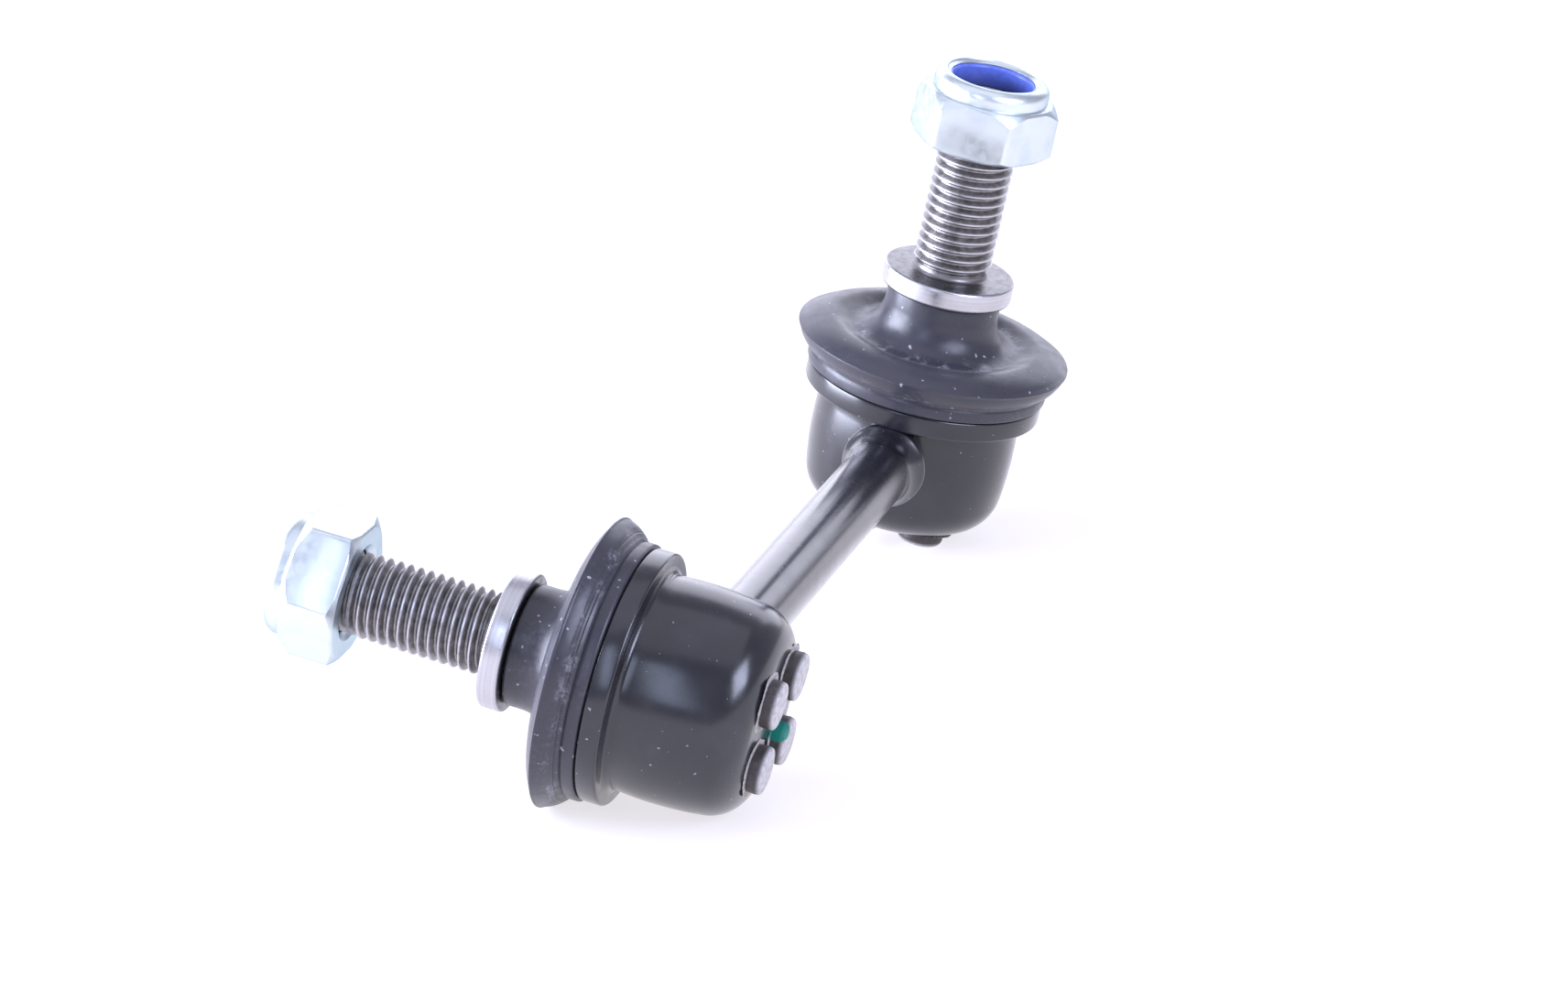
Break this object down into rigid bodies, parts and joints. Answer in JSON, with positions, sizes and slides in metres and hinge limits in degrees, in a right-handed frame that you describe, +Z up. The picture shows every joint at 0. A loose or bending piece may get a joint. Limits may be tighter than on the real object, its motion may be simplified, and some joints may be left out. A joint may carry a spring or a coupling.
{
  "type": "stabilizer link",
  "caption": "Short stabilizer link: a round rod with a booted ball joint at each end, threaded studs a quarter turn apart, each with a nylon lock nut.",
  "frame": {"origin": "centre of the bounding box on the bench surface that the link lies on", "axes": "+Z is up as the link lies at rest on a bench, on its front boot, front housing and rear pegs; +X runs along the rod from the front joint, whose stud lies, to the rear joint, whose stud stands; +Y is the way the front stud points"},
  "size_m": [0.1351, 0.0691, 0.0624],
  "materials": {
    "black_paint": "gloss black paint",
    "seat_plastic": "moulded, grey-brown",
    "stud_steel": "turned and rolled steel",
    "boot_rubber": "matte moulded rubber",
    "ring_steel": "plain steel",
    "zinc": "bright zinc plating",
    "blue_nylon": "blue nylon"
  },
  "bodies": {
    "link": {"link_rod": "black_paint", "front_housing": "black_paint", "rear_housing": "black_paint", "front_ball_seat": "seat_plastic", "rear_ball_seat": "seat_plastic"},
    "front_boot": {"front_dust_boot": "boot_rubber", "front_boot_base_ring": "ring_steel"},
    "front_neck": {"front_boot_neck_ring": "ring_steel"},
    "front_stud": {"front_ball_stud": "stud_steel"},
    "front_insert": {"front_nut_insert": "blue_nylon"},
    "front_nut": {"front_lock_nut": "zinc"},
    "rear_boot": {"rear_dust_boot": "boot_rubber", "rear_boot_base_ring": "ring_steel"},
    "rear_neck": {"rear_boot_neck_ring": "ring_steel"},
    "rear_stud": {"rear_ball_stud": "stud_steel"},
    "rear_insert": {"rear_nut_insert": "blue_nylon"},
    "rear_nut": {"rear_lock_nut": "zinc"}
  },
  "joints": [
    {"name": "front_swing_direction", "type": "hinge", "parent": "link", "child": "front_boot", "pos_m": [-0.05025, -0.01485, 0.01388], "axis": [0.0007, 0.9717, 0.2362], "continuous": true},
    {"name": "front_swing", "type": "hinge", "parent": "front_boot", "child": "front_neck", "pos_m": [-0.05025, -0.01485, 0.01388], "axis": [-0.003, 0.2362, -0.9717], "range_deg": [-22, 22], "deforming": ["front_dust_boot"]},
    {"name": "front_twist", "type": "hinge", "parent": "front_neck", "child": "front_stud", "pos_m": [-0.05025, -0.01485, 0.01388], "axis": [0.0007, 0.9717, 0.2362], "continuous": true},
    {"name": "front_nut_travel", "type": "slide", "parent": "front_stud", "child": "front_insert", "axis": [0.0007, 0.9717, 0.2362], "range_m": [-0.0175, 0.00719]},
    {"name": "front_nut_spin", "type": "hinge", "parent": "front_insert", "child": "front_nut", "pos_m": [-0.05025, -0.01485, 0.01388], "axis": [0.0007, 0.9717, 0.2362], "range_deg": [-5040, 2070]},
    {"name": "rear_swing_direction", "type": "hinge", "parent": "link", "child": "rear_boot", "pos_m": [0.05025, -0.01485, 0.01358], "axis": [0.003, -0.2362, 0.9717], "continuous": true},
    {"name": "rear_swing", "type": "hinge", "parent": "rear_boot", "child": "rear_neck", "pos_m": [0.05025, -0.01485, 0.01358], "axis": [-0.0007, -0.9717, -0.2362], "range_deg": [-22, 22], "deforming": ["rear_dust_boot"]},
    {"name": "rear_twist", "type": "hinge", "parent": "rear_neck", "child": "rear_stud", "pos_m": [0.05025, -0.01485, 0.01358], "axis": [0.003, -0.2362, 0.9717], "continuous": true},
    {"name": "rear_nut_travel", "type": "slide", "parent": "rear_stud", "child": "rear_insert", "axis": [0.003, -0.2362, 0.9717], "range_m": [-0.01625, 0.00844]},
    {"name": "rear_nut_spin", "type": "hinge", "parent": "rear_insert", "child": "rear_nut", "pos_m": [0.05025, -0.01485, 0.01358], "axis": [0.003, -0.2362, 0.9717], "range_deg": [-4680, 2430]}
  ],
  "couplings": [
    {"joint": "front_nut_travel", "follows": "front_nut_spin", "m_per_rad": 0.00019894},
    {"joint": "rear_nut_travel", "follows": "rear_nut_spin", "m_per_rad": 0.00019894}
  ]
}
